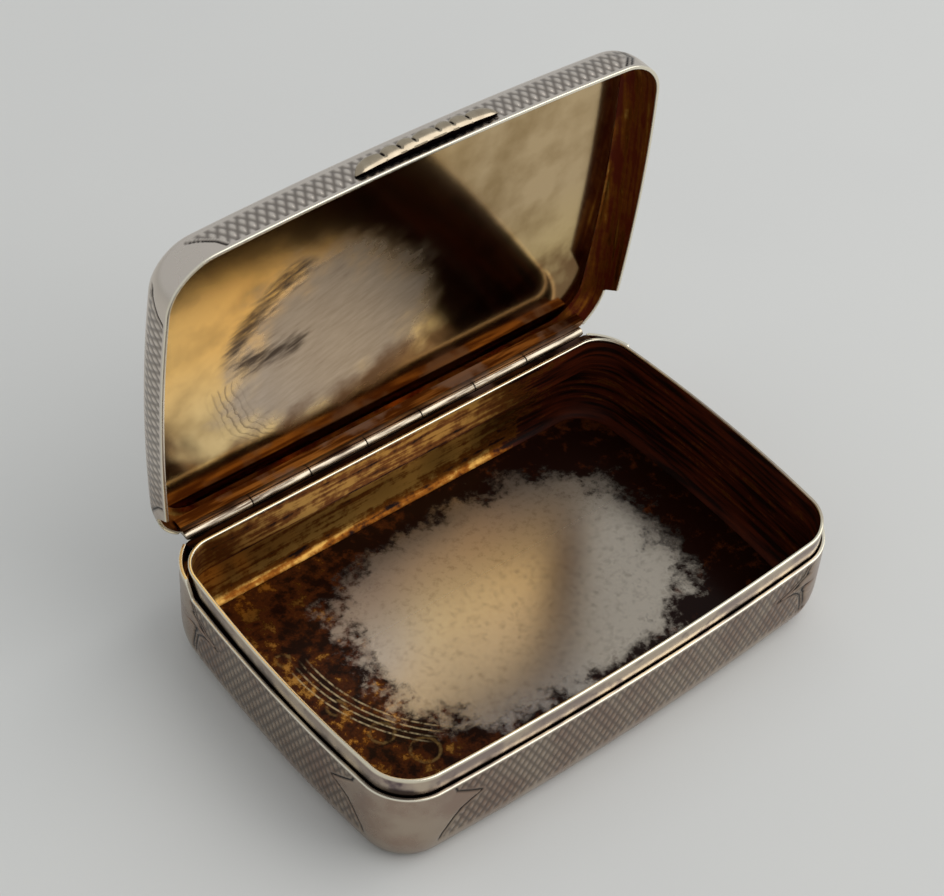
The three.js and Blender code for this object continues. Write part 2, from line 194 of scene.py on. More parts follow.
def turned_wall(curve, panel_end, bracket, doubled, place, inward):
    """Rows of an engine-turned wall along a curve of insets and heights, from the rim's side of the panel,
    and the depth cut at each point, 1 between the grains and more in the engraved lines. A grain's height
    is half the size of the sum of two cosines, one along the side and one along the curve, to a power:
    lozenges in a staggered lattice with cuts slanting both ways between them. The engraved line runs where
    the distance in from the box's end equals the bracket's, with a second one outside it where doubled.
    Points sink along the curve's normal."""
    length = np.r_[0, np.cumsum(np.hypot(*np.diff(curve, axis=0).T))]
    rising = np.argsort(curve[:, 1])
    end = np.interp(panel_end, curve[rising, 1], length[rising])
    row = GRAIN_HEIGHT / GRAIN_ROWS
    run = np.r_[np.arange(0, end + row, row), np.linspace(end + 2 * row, length[-1], PLAIN_ROWS)]
    inset, height = (np.interp(run, length, column)[:, None] for column in curve.T)
    tangent = np.gradient(curve, length, axis=0)
    sink_in = inward * np.interp(run, length, tangent[:, 1])[:, None]
    sink_up = -inward * np.interp(run, length, tangent[:, 0])[:, None]
    from_middle, half, distance_in, _, _ = panel_places(place)
    pitch = 2 * half / np.round(2 * half / GRAIN_LENGTH)
    wave = np.cos(2 * math.pi * from_middle / pitch) + np.cos(2 * math.pi * run[:, None] / GRAIN_HEIGHT)
    ends = bracket(height)
    slope = np.gradient(ends, axis=0) / np.gradient(run)[:, None]
    off_line = (distance_in - ends) / np.sqrt(1 + slope ** 2)
    grains = (1 - np.abs(wave / 2) ** GRAIN_POINT) * smooth_step(*TURNING_STARTS, off_line)
    lines = np.maximum(np.exp(-(off_line / ENGRAVED_WIDTH) ** 2),
                       doubled * np.exp(-((off_line + SECOND_LINE) / ENGRAVED_WIDTH) ** 2))
    cut = np.maximum(grains, ENGRAVED_DEEPER * lines) * smooth_step(end + PANEL_FADE, end, run)[:, None]
    x, y = outline(inset + GRAIN_DEPTH * cut * sink_in, place)
    return np.stack([x, y, height + GRAIN_DEPTH * cut * sink_up], -1), cut


def mesh_object(name, points, materials, row_material=None, closed_rows=True, values=None):
    """Makes an object from a grid of points in millimetres, joined round its columns and, if closed, round
    its rows. row_material gives each row of faces its place in the list of materials; values are numbers
    kept per point."""
    rows, columns = points.shape[:2]
    number = np.arange(rows * columns).reshape(rows, columns)
    lower, upper = (number, np.roll(number, -1, 0)) if closed_rows else (number[:-1], number[1:])
    quads = np.stack([lower, np.roll(lower, -1, 1), np.roll(upper, -1, 1), upper], -1).reshape(-1, 4)
    mesh = bpy.data.meshes.new(name)
    mesh.vertices.add(number.size)
    mesh.vertices.foreach_set("co", (points.reshape(-1, 3) * MM).ravel())
    mesh.loops.add(quads.size)
    mesh.loops.foreach_set("vertex_index", quads.ravel())
    mesh.polygons.add(len(quads))
    mesh.polygons.foreach_set("loop_start", np.arange(0, quads.size, 4))
    if row_material is not None:
        index = np.repeat(row_material[:len(lower)], columns).astype(np.int32)
        mesh.polygons.foreach_set("material_index", index)
    for key, value in (values or {}).items():
        stored = mesh.attributes.new(key, "FLOAT", "POINT")
        stored.data.foreach_set("value", value.astype(np.float32).ravel())
    mesh.update(calc_edges=True)
    clean = bmesh.new()
    clean.from_mesh(mesh)
    bmesh.ops.remove_doubles(clean, verts=clean.verts, dist=MERGE_DISTANCE)
    bmesh.ops.dissolve_degenerate(clean, edges=clean.edges, dist=SLIVER)
    clean.to_mesh(mesh)
    clean.free()
    mesh.shade_smooth()
    mesh.set_sharp_from_angle(angle=SHARP_ANGLE)
    for material in materials:
        mesh.materials.append(material)
    made = bpy.data.objects.new(name, mesh)
    bpy.context.scene.collection.objects.link(made)
    return made


def linear(colour):
    """An sRGB hex colour as linear red, green, blue and alpha."""
    share = np.array([int(colour[i:i + 2], 16) for i in (1, 3, 5)]) / 255
    return *np.where(share <= 0.04045, share / 12.92, ((share + 0.055) / 1.055) ** 2.4), 1.0


def feed(made, inputs):
    """Gives each socket of a node another node's output, a hex colour or a plain value."""
    for socket, value in inputs.items():
        if isinstance(value, bpy.types.NodeSocket):
            made.id_data.links.new(value, made.inputs[socket])
        else:
            made.inputs[socket].default_value = linear(value) if isinstance(value, str) else value


def add_node(tree, kind, inputs=None, output=0, **settings):
    """Adds one node to a tree with its inputs and its own settings, and gives back one of its outputs."""
    made = tree.nodes.new("ShaderNode" + kind)
    for key, value in settings.items():
        setattr(made, key, value)
    feed(made, inputs or {})
    return made.outputs[output]


def new_material(name, metallic=1.0):
    """A material, the function that adds nodes to it, its shader, and the place on the object as a vector
    and as separate X, Y and Z."""
    material = bpy.data.materials.new(name)
    material.use_nodes = True
    node = functools.partial(add_node, material.node_tree)
    shader = material.node_tree.nodes["Principled BSDF"]
    feed(shader, {"Metallic": metallic})
    spot = node("TexCoord", output="Object")
    return material, node, shader, spot, node("SeparateXYZ", {0: spot}).node.outputs


# Engine-turned sterling silver: cut by a rose engine and then worn by hands. The tops of the grains and
# the rims are rubbed bright, grey tarnish lies in the cuts, and thin brown clouds of it over the body's
# plain corners and underside. Low down the silver is also painted darker and browner: painted shade for
# the shaded board that the body reflects.
silver_turned, node, shader, spot, way = new_material("sterling silver, engine-turned and tarnished")
cut = node("Attribute", output="Fac", attribute_name="cut")
clouds = node("TexNoise", {"Vector": spot, "Scale": 1 / (6 * MM), "Detail": 5.0})
tint = node("MapRange", {"Value": clouds, "From Min": 0.36, "From Max": 0.66},
            interpolation_type="SMOOTHSTEP")
# Painted shade: the silver is painted darker and browner low down, over the body, and the brown clouds are
# kept low too.
low = node("MapRange", {"Value": way["Z"], "From Min": 34 * MM, "From Max": 12 * MM})
bright_with_painted_shade = node("Mix", {0: low, 6: "#d8cdc1", 7: "#ab9b8a"}, output=2, data_type="RGBA")
tint = node("Math", {0: tint, 1: low}, operation="MULTIPLY")
bright_with_painted_shade = node("Mix", {0: tint, 6: bright_with_painted_shade, 7: "#9a8475"}, output=2, data_type="RGBA")
tarnish = node("MapRange", {"Value": cut, "From Min": 0.2, "From Max": 1.0, "To Max": 0.72})
colour = node("Mix", {0: tarnish, 6: bright_with_painted_shade, 7: "#4c413a"}, output=2, data_type="RGBA")
engraved = node("MapRange", {"Value": cut, "From Min": 0.98, "From Max": 1.3})
colour = node("Mix", {0: engraved, 6: colour, 7: "#1d1613"}, output=2, data_type="RGBA")
rubbed = node("MapRange", {"Value": cut, "From Min": -0.1, "From Max": RUBBED})
colour = node("Mix", {0: rubbed, 6: colour, 7: "#eee6d2"}, output=2, data_type="RGBA")
rough = node("MapRange", {"Value": clouds, "To Min": 0.2, "To Max": 0.34})
feed(shader, {"Base Color": colour, "Roughness": rough})

# Fire-gilt silver of the body's walls: burnished along the wall, so that rubbing and snuff show as level
# streaks from gold through amber to a matt film of red-brown snuff, which covers the right and the front,
# gathers at the wall's foot and breaks the gold up into fine specks. Painted shade darkens it in a line
# under the mouth rim, and painted light thins the stain on the wall in the shaded recess below.
gilt_wall, node, shader, spot, way = new_material("silver gilt, burnished and snuff-stained")
level = node("Mapping", {"Vector": spot, "Scale": (1 / (12 * MM), 1 / (12 * MM), 1 / (0.8 * MM))})
streaks = node("TexNoise", {"Vector": level, "Scale": 1.0, "Detail": 5.0})
specks = node("TexNoise", {"Vector": spot, "Scale": 1 / (2.2 * MM), "Detail": 8.0, "Roughness": 0.65})
right = node("MapRange", {"Value": way["X"], "From Min": 15 * MM, "From Max": 31 * MM, "To Max": 0.4})
front = node("MapRange", {"Value": way["Y"], "From Min": -6 * MM, "From Max": -22 * MM, "To Max": 0.3})
stain = node("Math", {0: right, 1: front}, operation="MAXIMUM")
# Painted shade: a dark line on the wall just under the mouth rim's foot, in the shadow of its ledge, a little
# lighter on either side.
under_rim_shade = node("Math", {0: way["Z"], 1: 10.8 * MM}, operation="SUBTRACT")
under_rim_shade = node("Math", {0: under_rim_shade}, operation="ABSOLUTE")
under_rim_shade = node("MapRange", {"Value": under_rim_shade, "From Min": 0.7 * MM, "From Max": 0.1 * MM,
                              "To Min": -0.08, "To Max": 0.25})
stain = node("Math", {0: stain, 1: under_rim_shade}, operation="ADD")
# Painted light: less stain on the wall below the mouth rim, to lighten it where it lies in shade in the
# recess.
lower = node("MapRange", {"Value": way["Z"], "From Min": 10.6 * MM, "From Max": 10.0 * MM, "To Max": -0.08})
stain = node("Math", {0: stain, 1: lower}, operation="ADD")
foot = node("MapRange", {"Value": way["Z"], "From Min": 4.0 * MM, "From Max": 1.0 * MM, "To Max": 0.14})
stain = node("Math", {0: stain, 1: foot}, operation="ADD")
stain = node("Math", {0: specks, 1: 0.8, 2: stain}, operation="MULTIPLY_ADD")
stain = node("Math", {0: stain, 1: streaks}, operation="ADD")
amber = node("MapRange", {"Value": stain, "From Min": 0.68, "From Max": 0.9},
             interpolation_type="SMOOTHSTEP")
film = node("MapRange", {"Value": stain, "From Min": 0.88, "From Max": 1.08},
            interpolation_type="SMOOTHSTEP")
colour = node("Mix", {0: amber, 6: "#c2944a", 7: "#7a4616"}, output=2, data_type="RGBA")
thick = node("MapRange", {"Value": streaks, "From Min": 0.4, "From Max": 0.6})
snuff = node("Mix", {0: thick, 6: "#4c1c09", 7: "#180602"}, output=2, data_type="RGBA")
colour = node("Mix", {0: film, 6: colour, 7: snuff}, output=2, data_type="RGBA")
rough = node("MapRange", {"Value": film, "To Min": 0.42, "To Max": 0.5})
metal = node("MapRange", {"Value": film, "To Min": 1.0, "To Max": 0.0})
feed(shader, {"Base Color": colour, "Roughness": rough, "Metallic": metal,
              "Specular IOR Level": SNUFF_SHEEN})

panel_path = stations(GRAIN_LENGTH, GRAIN_STEPS)
_, _, _, end_corner, side = panel_places(panel_path)
beside_step = (side % 2 == 0) & ((end_corner == 1) | (end_corner == 2))


def body_bracket(height):
    """Distance in from the box's end at which the turning ends, at each height and station of the body's
    wall."""
    ends = np.where(end_corner % 2 == 1, np.interp(height, *HOOK_ABOVE.T), np.interp(height, *HOOK_BELOW.T))
    return ends + STEP_BRACKET_SHIFT * beside_step


quarter = np.linspace(0, math.pi / 2, CURVE_POINTS)
foot_curve = np.column_stack([FOOT_ROUND_INSET * (1 - np.cos(quarter)),
                              FOOT_ROUND_HEIGHT * (1 - np.sin(quarter))])
wall_curve = np.vstack([[0, BODY_PANEL_TOP], foot_curve])
wall, cut = turned_wall(wall_curve, BODY_PANEL_FOOT, body_bracket, end_corner % 2 == 0, panel_path, -1)
lip = lip_rows(BODY_SHEET, BODY_PANEL_TOP, panel_path)
cove = np.linspace(0, math.pi / 2, COVE_POINTS)
inside = ring_rows(np.r_[BODY_SHEET, BODY_SHEET + (FOOT_ROUND_INSET - BODY_SHEET) * (1 - np.cos(cove))],
                   np.r_[INNER_COURSE, FOOT_ROUND_HEIGHT + (BASE_SHEET - FOOT_ROUND_HEIGHT) * np.sin(cove)],
                   panel_path)
lip_cut = np.r_[0 * LIP_COURSES, np.full(len(lip) - LIP_COURSES.size, RUBBED)]
lip_cut = lip_cut[:, None] + np.zeros(panel_path[0].size)
body_rows = np.concatenate([wall[::-1], lip, inside])
body_band = mesh_object("body_band_turned", body_rows, [silver_turned, gilt_wall],
                        np.r_[np.zeros(len(wall) + len(lip) - 1), np.ones(len(inside) + 1)], True,
                        {"cut": np.concatenate([cut[::-1], lip_cut, np.zeros(inside.shape[:2])])})
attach(body_band, "body")
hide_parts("body_band")

# Base. A flat plate of silver let into the foot of the band and soldered, plain below and gilt on its
# upper face, the floor of the box. Years of snuff have worn the gilding off its middle in a ragged patch
# and caked round that.
BASE_SEAM = 0.06
PLATE_RINGS, PLAIN_SPACING = 90, 0.8
WORN_MIDDLE, WORN_HALF, WORN_POWER = np.array([4.0, 2.0]), np.array([25.5, 18.5]), 2.8
# Rings in the crust, as x, y and radius.
RINGS = np.array([(-23.4, -12.1, 2.0), (-26.3, -6.4, 1.7), (-28.7, 0.6, 1.3), (-29.6, 11.5, 1.0)])
SCRATCH_MIDDLE, SCRATCH_RADIUS, SCRATCH_GAP = np.array([-2.0, 8.0]), 26.5, 0.95
SCRATCH_BAND, SCRATCH_FRONT, SCRATCH_BACK = (2.3, 1.9), (-12.0, -9.0), (10.5, 6.0)
plain_path = stations(PLAIN_SPACING, 1)


def plate_rows(inset, low, high, place):
    """A flat plate: rings that shrink from the outline to its middle, on the lower face and back on the
    upper."""
    x, y = outline(inset, place)
    share = np.sqrt(np.linspace(0, 1, PLATE_RINGS))[:, None]
    share = np.vstack([share, share[::-1]])
    lower = np.repeat([True, False], PLATE_RINGS)[:, None]
    return np.stack([x * share, y * share, np.where(lower, low, high) + 0 * x], -1)


floor_rows = plate_rows(FOOT_ROUND_INSET + BASE_SEAM, 0.0, BASE_SHEET, plain_path)
floor_place = floor_rows[..., :2]
worn = (np.abs((floor_place - WORN_MIDDLE) / WORN_HALF) ** WORN_POWER).sum(-1) ** (1 / WORN_POWER)
worn = (1 - worn) * WORN_HALF.min()  # millimetres inside the patch's edge
ring = np.min(np.abs(np.linalg.norm(floor_place[..., None, :] - RINGS[:, :2], axis=-1) - RINGS[:, 2]), -1)
scratch = (np.linalg.norm(floor_place - SCRATCH_MIDDLE, axis=-1) - SCRATCH_RADIUS) / SCRATCH_GAP
scratched = (smooth_step(*SCRATCH_BAND, np.abs(scratch)) * smooth_step(*SCRATCH_FRONT, floor_place[..., 1])
             * smooth_step(*SCRATCH_BACK, floor_place[..., 1]) * (floor_place[..., 0] < 0))

# Fire-gilt silver of the floor: a patch worn to bare grey silver with fine pits, ragged at its edge, in a
# crust of dried snuff, nearly black, through which flecks, rings and scratches of the gold still show.
gilt_floor, node, shader, spot, way = new_material("silver gilt, worn through and caked")
worn_in = node("Attribute", output="Fac", attribute_name="worn")
broad = node("TexNoise", {"Vector": spot, "Scale": 1 / (5 * MM), "Detail": 4.0})
fine = node("TexNoise", {"Vector": spot, "Scale": 1 / (1.1 * MM), "Detail": 8.0, "Roughness": 0.7})
ragged = node("Math", {0: broad, 1: 11.0, 2: worn_in}, operation="MULTIPLY_ADD")
ragged = node("Math", {0: fine, 1: 9.0, 2: ragged}, operation="MULTIPLY_ADD")
bare = node("MapRange", {"Value": ragged, "From Min": 8.8, "From Max": 12.4},
            interpolation_type="SMOOTHSTEP")
clump = node("TexNoise", {"Vector": spot, "Scale": 1 / (2.4 * MM), "Detail": 8.0, "Roughness": 0.68})
left = node("MapRange", {"Value": way["X"], "From Min": 12 * MM, "From Max": -26 * MM, "To Min": -0.16,
                         "To Max": -0.03})
outer = node("MapRange", {"Value": worn_in, "From Min": -4.5, "From Max": -9.0, "To Max": 0.1})
clump = node("Math", {0: clump, 1: left}, operation="ADD")
clump = node("Math", {0: clump, 1: outer}, operation="ADD")
brown = node("MapRange", {"Value": clump, "From Min": 0.38, "From Max": 0.54},
             interpolation_type="SMOOTHSTEP")
flecks = node("MapRange", {"Value": clump, "From Min": 0.53, "From Max": 0.66},
              interpolation_type="SMOOTHSTEP")
crust = node("Mix", {0: brown, 6: "#1a0803", 7: "#46200a"}, output=2, data_type="RGBA")
crust = node("Mix", {0: flecks, 6: crust, 7: "#a98042"}, output=2, data_type="RGBA")
ring_near = node("Attribute", output="Fac", attribute_name="ring")
ring_near = node("Math", {0: fine, 1: 0.8, 2: ring_near}, operation="MULTIPLY_ADD")
ring_line = node("MapRange", {"Value": ring_near, "From Min": 0.75, "From Max": 0.4, "To Max": 0.7},
                 interpolation_type="SMOOTHSTEP")
crust = node("Mix", {0: ring_line, 6: crust, 7: "#7d6238"}, output=2, data_type="RGBA")
stroke = node("Attribute", output="Fac", attribute_name="scratch")
stroke = node("Math", {0: stroke}, operation="FRACT")
stroke = node("Math", {0: stroke, 1: 0.5}, operation="SUBTRACT")
stroke = node("Math", {0: stroke}, operation="ABSOLUTE")
stroke = node("MapRange", {"Value": stroke, "From Min": 0.2, "From Max": 0.06})
scratched_in = node("Attribute", output="Fac", attribute_name="scratched")
stroke = node("Math", {0: stroke, 1: scratched_in}, operation="MULTIPLY")
broken = node("MapRange", {"Value": fine, "From Min": 0.38, "From Max": 0.56})
stroke = node("Math", {0: stroke, 1: broken}, operation="MULTIPLY")
crust = node("Mix", {0: stroke, 6: crust, 7: "#b5a27c"}, output=2, data_type="RGBA")
leftward = node("MapRange", {"Value": way["X"], "From Min": 6 * MM, "From Max": -12 * MM})
silver = node("Mix", {0: leftward, 6: "#b9ae9f", 7: "#b4b2b2"}, output=2, data_type="RGBA")
pits = node("MapRange", {"Value": fine, "From Min": 0.5, "From Max": 1.0})
silver = node("Mix", {0: pits, 6: silver, 7: "#6e5f50"}, output=2, data_type="RGBA")
colour = node("Mix", {0: bare, 6: crust, 7: silver}, output=2, data_type="RGBA")
rough = node("MapRange", {"Value": way["Y"], "From Min": 2 * MM, "From Max": 15 * MM, "To Min": 0.21,
                          "To Max": 0.36})
metal = node("Math", {0: bare, 1: flecks}, operation="MAXIMUM")
metal = node("MapRange", {"Value": metal, "From Max": 0.12})
caking = node("Bump", {"Height": bare, "Strength": 0.25, "Distance": -0.03 * MM})
feed(shader, {"Base Color": colour, "Roughness": rough, "Metallic": metal,
              "Specular IOR Level": SNUFF_SHEEN, "Normal": caking})

body_base = mesh_object("body_base_floor", floor_rows, [gilt_floor, silver_turned],
                        np.repeat([1, 0], PLATE_RINGS)[:-1], False,
                        {"worn": worn, "ring": ring, "scratch": scratch, "scratched": scratched})
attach(body_base, "body")
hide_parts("body_base")

# Mouth rim. A strip of silver soldered inside the band, standing above it, so that the lid closes over it.
# Polished outside and on its edge, gilt inside.
MOUTH_INSET, MOUTH_SHEET, MOUTH_BACK_SET = 0.68, 0.5, 2.31382
MOUTH_CORNERS = np.array([6.6, 5.48, 5.48, 6.6])
MOUTH_TOP, MOUTH_FOOT, MOUTH_ROUND, MOUTH_POINTS = 16.85, 10.9, 0.2, 6
MOUTH_COURSES = np.array([12.0, 15.0])  # heights of the rows between its edges

# Polished sterling silver of the rim, handled: a cream edge rubbed bright, a lavender-grey film of tarnish
# on the face below it, with purple-brown blots, and painted shade, dark brown, low on the face in the angle
# where the lid's rim comes down, deepest at the left end, which faces away from the light.
silver_rim, node, shader, spot, way = new_material("sterling silver, polished, painted shade in the angle")
film = node("TexNoise", {"Vector": spot, "Scale": 1 / (6 * MM), "Detail": 5.0})
tint = node("MapRange", {"Value": film, "From Min": 0.4, "From Max": 0.62}, interpolation_type="SMOOTHSTEP")
colour = node("Mix", {0: tint, 6: "#c2b19d", 7: "#9a8a82"}, output=2, data_type="RGBA")
blots = node("TexNoise", {"Vector": spot, "Scale": 1 / (4 * MM), "Detail": 3.0})
blot = node("MapRange", {"Value": blots, "From Min": 0.58, "From Max": 0.7, "To Max": 0.8},
            interpolation_type="SMOOTHSTEP")
colour = node("Mix", {0: blot, 6: colour, 7: "#4e3c4a"}, output=2, data_type="RGBA")
# Painted shade: dark brown low on the face, in the angle above the body's rim, reaching higher at the left
# end.
angle_shade = node("Math", {0: film, 1: -4 * MM, 2: way["Z"]}, operation="MULTIPLY_ADD")
left_end_shade = node("MapRange", {"Value": way["X"], "From Min": -36 * MM, "From Max": -28 * MM,
                              "To Max": 0.7 * MM})
angle_shade = node("Math", {0: angle_shade, 1: left_end_shade}, operation="ADD")
angle_shade = node("MapRange", {"Value": angle_shade, "From Min": 13.4 * MM, "From Max": 12.2 * MM, "To Max": 0.9},
            interpolation_type="SMOOTHSTEP")
colour = node("Mix", {0: angle_shade, 6: colour, 7: "#2c1e1c"}, output=2, data_type="RGBA")
edge = node("MapRange", {"Value": way["Z"], "From Min": 16.35 * MM, "From Max": 16.7 * MM})
handled = node("MapRange", {"Value": way["X"], "From Min": 36 * MM, "From Max": 38 * MM, "To Min": 1.0,
                            "To Max": 0.3})
edge = node("Math", {0: edge, 1: handled}, operation="MULTIPLY")
colour = node("Mix", {0: edge, 6: colour, 7: "#eae0c8"}, output=2, data_type="RGBA")
rough = node("MapRange", {"Value": film, "To Min": 0.14, "To Max": 0.3})
feed(shader, {"Base Color": colour, "Roughness": rough})

turn = np.linspace(0, math.pi / 2, MOUTH_POINTS)
edge_in, edge_down = MOUTH_ROUND * (1 - np.sin(turn)), MOUTH_ROUND * (1 - np.cos(turn))
outer_inset = MOUTH_INSET + np.r_[edge_in, 0 * MOUTH_COURSES, edge_in[::-1]]
outer_height = np.r_[MOUTH_FOOT + edge_down, MOUTH_COURSES, MOUTH_TOP - edge_down[::-1]]
inner_inset = 2 * MOUTH_INSET + MOUTH_SHEET - outer_inset[::-1]
mouth_rows = ring_rows(np.r_[outer_inset, inner_inset], np.r_[outer_height, outer_height[::-1]], plain_path,
                       MOUTH_BACK_SET, MOUTH_CORNERS)
mouth_rim = mesh_object("mouth_rim_drawn", mouth_rows, [silver_rim, gilt_wall],
                        np.arange(len(mouth_rows)) >= outer_inset.size + MOUTH_POINTS - 1)
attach(mouth_rim, "body")
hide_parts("mouth_rim")

# Hinge. Seven tubes drawn from silver sheet lie in a channel between two soldered bars and turn on one
# wire; the outer two are filed to the box's corners and plugged.
KNUCKLE_RADIUS, BORE_RADIUS, KNUCKLE_GAP, KNUCKLE_COUNT = 0.85, 0.45, 0.12, 7
HINGE_HALF, KNUCKLE_PITCH, KNUCKLE_PROUD = 35.25, 9.74, 0.17618
TUBE_EDGE, TUBE_END, TUBE_POINTS, TUBE_SIDES = 0.09, 2.0, 4, 48
OPEN_ANGLE = math.radians(86)


def opened(points):
    """The shut lid's points turned open about the hinge's axis."""
    y, z = points[..., 1] - AXIS_Y, points[..., 2] - AXIS_Z
    cosine, sine = math.cos(OPEN_ANGLE), math.sin(OPEN_ANGLE)
    return np.stack([points[..., 0], AXIS_Y + y * cosine + z * sine, AXIS_Z + z * cosine - y * sine], -1)


def knuckle_rows(start, end):
    """A tube along the hinge: rings of points from its bore over one rounded end, along its outside, over
    the other end and back. Where the box's rounded corner is nearer than the end, the tube stops there."""
    turn = np.linspace(0, math.pi / 2, TUBE_POINTS)
    radius = np.r_[BORE_RADIUS, KNUCKLE_RADIUS - TUBE_EDGE + TUBE_EDGE * np.sin(turn), KNUCKLE_RADIUS]
    inward = np.r_[0, TUBE_EDGE * (1 - np.cos(turn)), TUBE_END]
    angle = np.linspace(0, 2 * math.pi, TUBE_SIDES, endpoint=False)
    ring = np.r_[radius, radius[::-1]][:, None]
    y, z = AXIS_Y + ring * np.cos(angle), AXIS_Z + ring * np.sin(angle)
    back_corner = CORNERS[1]
    half_length, half_width = BOX_LENGTH / 2 + KNUCKLE_PROUD, BOX_WIDTH / 2 + KNUCKLE_PROUD
    reach = (back_corner + KNUCKLE_PROUD) ** 2 - (y - BOX_WIDTH / 2 + back_corner) ** 2
    limit = BOX_LENGTH / 2 - back_corner + np.sqrt(np.maximum(reach, 0))
    limit = limit * (1 - END_BOW / half_length * (y / half_width) ** 2)
    left = np.maximum(start, -limit) + np.r_[inward, 0 * inward][:, None]
    right = np.minimum(end, limit) - np.r_[0 * inward, inward[::-1]][:, None]
    x = np.where(np.repeat([True, False], radius.size)[:, None], left, right)
    return np.stack([x, y, z], -1)


# Drawn sterling silver of the tubes: bright in lengthwise streaks where the hinge is handled, brown with old
# polish between them.
silver_tube, node, shader, spot, _ = new_material("sterling silver, drawn into tube")
lengthwise = node("Mapping", {"Vector": spot, "Scale": (1 / (6 * MM), 1 / (0.5 * MM), 1 / (0.5 * MM))})
polish = node("TexNoise", {"Vector": lengthwise, "Scale": 1.0, "Detail": 5.0})
old_polish = node("MapRange", {"Value": polish, "From Min": 0.42, "From Max": 0.66},
                  interpolation_type="SMOOTHSTEP")
colour = node("Mix", {0: old_polish, 6: "#c3b59f", 7: "#57483c"}, output=2, data_type="RGBA")
rough = node("MapRange", {"Value": polish, "To Min": 0.16, "To Max": 0.34})
feed(shader, {"Base Color": colour, "Roughness": rough})

for i in range(KNUCKLE_COUNT):
    on_lid = i % 2 == 0
    start, end = (np.array([i, i + 1]) - KNUCKLE_COUNT / 2) * KNUCKLE_PITCH
    start, end = start + KNUCKLE_GAP / 2, end - KNUCKLE_GAP / 2
    start, end = -HINGE_HALF if i == 0 else start, HINGE_HALF if i == KNUCKLE_COUNT - 1 else end
    tube = knuckle_rows(start, end)
    cad_name = f"{'lid' if on_lid else 'body'}_knuckle_{i // 2 + 1}"
    knuckle = mesh_object(cad_name + "_drawn", opened(tube) if on_lid else tube, [silver_tube])
    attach(knuckle, "lid" if on_lid else "body")
    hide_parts(cad_name)
for cad_name in ("hinge_pin", "pin_plug_left", "pin_plug_right"):
    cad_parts[cad_name].material_slots[0].material = silver_tube

# Gilt silver of the two bars, streaked along the hinge from gold to dark brown, with pinkish-grey patches
# of bare fire-stained silver where they were soldered. The body's bar is nearly black.
for cad_name, gold, dark, patch in (("lid_hinge_bearer", "#a5733a", "#5a3414", "#8d766a"),
                                    ("body_hinge_bearer", "#3b2413", "#140906", "#5b4a46")):
    bar_silver, node, shader, spot, _ = new_material("silver gilt, fire-stained, " + cad_name.split("_")[0])
    level = node("Mapping", {"Vector": spot, "Scale": (1 / (8 * MM), 1 / (0.6 * MM), 1 / (0.6 * MM))})
    scale = node("TexNoise", {"Vector": level, "Scale": 1.0, "Detail": 6.0})
    scale = node("MapRange", {"Value": scale, "From Min": 0.36, "From Max": 0.6},
                 interpolation_type="SMOOTHSTEP")
    colour = node("Mix", {0: scale, 6: gold, 7: dark}, output=2, data_type="RGBA")
    solder = node("TexNoise", {"Vector": spot, "Scale": 1 / (9 * MM), "Detail": 5.0})
    solder = node("MapRange", {"Value": solder, "From Min": 0.5, "From Max": 0.6, "To Max": 0.8},
                  interpolation_type="SMOOTHSTEP")
    colour = node("Mix", {0: solder, 6: colour, 7: patch}, output=2, data_type="RGBA")
    rough = node("MapRange", {"Value": solder, "To Min": 0.34, "To Max": 0.48})
    feed(shader, {"Base Color": colour, "Roughness": rough})
    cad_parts[cad_name].material_slots[0].material = bar_silver

# Lid band. A strip like the body's, rounded over at its top, engine-turned outside and gilt inside, with
# its rim cut away round the back corners.
LID_HEIGHT, LID_SHEET, LID_PLATE_SHEET, LID_GAP = 6.2, 0.5, 0.8, 0.1
TOP_ROUND_HEIGHT, TOP_ROUND_INSET = 4.2, 2.2
LID_TOP = BODY_HEIGHT + LID_HEIGHT
LID_PANEL_FOOT, LID_PANEL_TOP = 14.55, 18.1
LID_SWEEP = np.array([(13.9, 9.0), (14.2, 8.9), (15.75, 7.9), (16.7, 6.7), (17.3, 5.9), (17.8, 5.1),
                      (20.0, 4.4)])
LID_STRAIGHT = np.array([(13.9, 7.0), (16.4, 4.2), (20.0, 3.4)])
# Painted shadow under the thumbpiece: how it rises at the ends, its soft edge, and the heights where it fades
# out.
THUMB_HALF, SHADE_RISE, SHADE_EDGE, SHADE_TOP = 10.9, 0.95, 0.3, (15.8, 15.3)

# Fire-gilt silver of the lid's walls: streaked along the rim from gold through amber to the matt red-brown
# film of snuff that covers the right end.
gilt_lid_wall, node, shader, spot, way = new_material("silver gilt, burnished and snuff-stained, lid")
along_rim = node("Mapping", {"Vector": spot, "Scale": (1 / (14 * MM), 1 / (0.9 * MM), 1 / (14 * MM))})
streaks = node("TexNoise", {"Vector": along_rim, "Scale": 1.0, "Detail": 5.0})
specks = node("TexNoise", {"Vector": spot, "Scale": 1 / (2.4 * MM), "Detail": 7.0, "Roughness": 0.65})
right = node("MapRange", {"Value": way["X"], "From Min": 10 * MM, "From Max": 34 * MM, "To Max": 0.17})
stain = node("Math", {0: specks, 1: 0.5, 2: right}, operation="MULTIPLY_ADD")
stain = node("Math", {0: streaks, 1: stain}, operation="ADD")
amber = node("MapRange", {"Value": stain, "From Min": 0.64, "From Max": 0.82},
             interpolation_type="SMOOTHSTEP")
film = node("MapRange", {"Value": stain, "From Min": 0.78, "From Max": 1.02},
            interpolation_type="SMOOTHSTEP")
colour = node("Mix", {0: amber, 6: "#c8984a", 7: "#8a5018"}, output=2, data_type="RGBA")
colour = node("Mix", {0: film, 6: colour, 7: "#561b08"}, output=2, data_type="RGBA")
rough = node("MapRange", {"Value": film, "To Min": 0.28, "To Max": 0.5})
metal = node("MapRange", {"Value": film, "To Min": 1.0, "To Max": 0.15})
